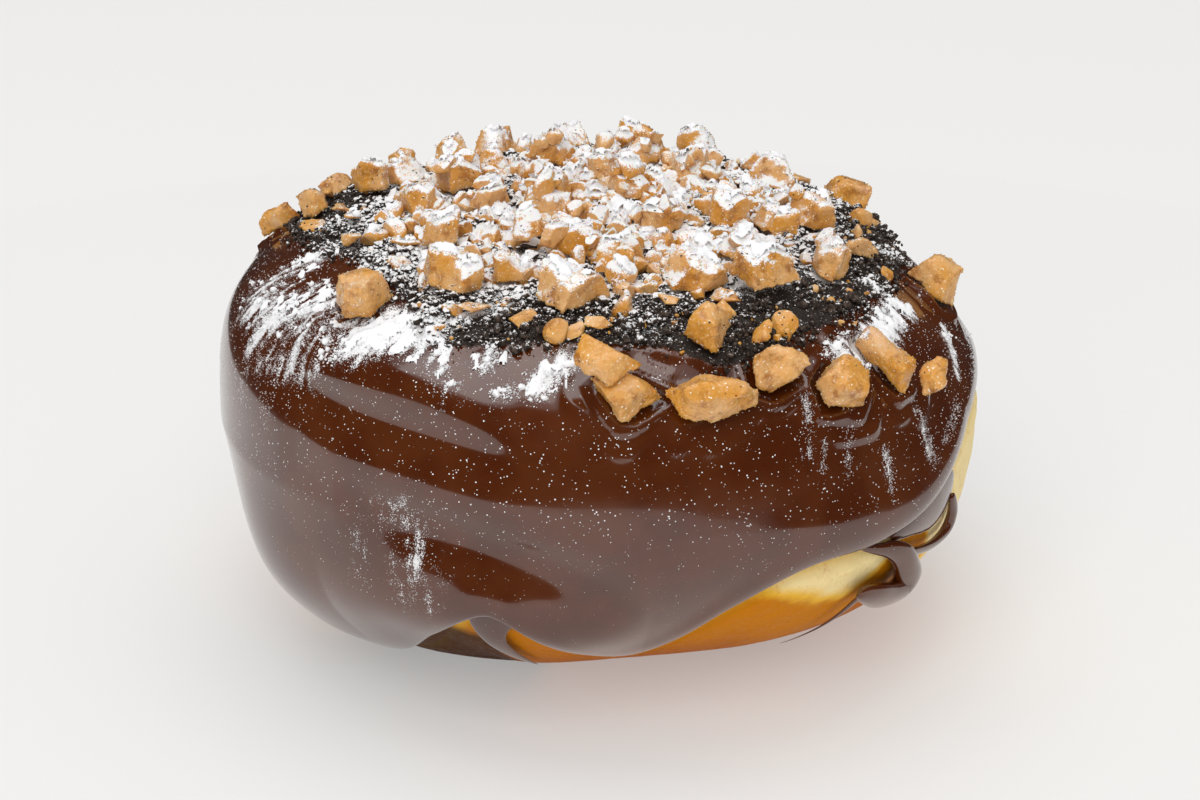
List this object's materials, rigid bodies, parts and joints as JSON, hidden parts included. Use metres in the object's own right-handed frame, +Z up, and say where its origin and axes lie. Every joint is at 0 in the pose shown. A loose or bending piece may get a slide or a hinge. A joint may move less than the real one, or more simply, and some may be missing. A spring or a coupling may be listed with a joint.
{
  "type": "filled doughnut",
  "caption": "Round filled doughnut of fried dough under poured chocolate glaze, topped with cookie crumbs, broken toffee and icing sugar.",
  "frame": {"origin": "middle of the flat spot that the doughnut rests on", "axes": "+Z up, -Y the front that the picture shows, +X to the right seen from the front"},
  "size_m": [0.0916, 0.0925, 0.0567],
  "materials": {
    "dough": "fried dough, golden brown with a pale yellow waist, soft satin",
    "icing": "dark milk chocolate glaze, very glossy, dusted with icing sugar, under near-black cookie crumbs",
    "toffee": "broken amber toffee, satin faces, dusted with icing sugar on top"
  },
  "bodies": {
    "root": {"dough": "dough", "icing": "icing", "toffee_01": "toffee", "toffee_02": "toffee", "toffee_03": "toffee", "toffee_04": "toffee", "toffee_05": "toffee", "toffee_06": "toffee", "toffee_07": "toffee", "toffee_08": "toffee", "toffee_09": "toffee", "toffee_10": "toffee", "toffee_11": "toffee", "toffee_12": "toffee", "toffee_13": "toffee", "toffee_14": "toffee", "toffee_15": "toffee", "toffee_16": "toffee", "toffee_17": "toffee", "toffee_18": "toffee", "toffee_19": "toffee", "toffee_20": "toffee", "toffee_21": "toffee", "toffee_22": "toffee", "toffee_23": "toffee", "toffee_24": "toffee", "toffee_25": "toffee", "toffee_26": "toffee", "toffee_27": "toffee", "toffee_28": "toffee", "toffee_29": "toffee", "toffee_30": "toffee", "toffee_31": "toffee", "toffee_32": "toffee", "toffee_33": "toffee", "toffee_34": "toffee", "toffee_35": "toffee", "toffee_36": "toffee", "toffee_37": "toffee", "toffee_38": "toffee", "toffee_39": "toffee", "toffee_40": "toffee", "toffee_41": "toffee", "toffee_42": "toffee", "toffee_43": "toffee", "toffee_44": "toffee", "toffee_45": "toffee", "toffee_46": "toffee", "toffee_47": "toffee", "toffee_48": "toffee", "toffee_49": "toffee", "toffee_50": "toffee", "toffee_51": "toffee", "toffee_52": "toffee", "toffee_53": "toffee", "toffee_54": "toffee", "toffee_55": "toffee"}
  },
  "joints": []
}
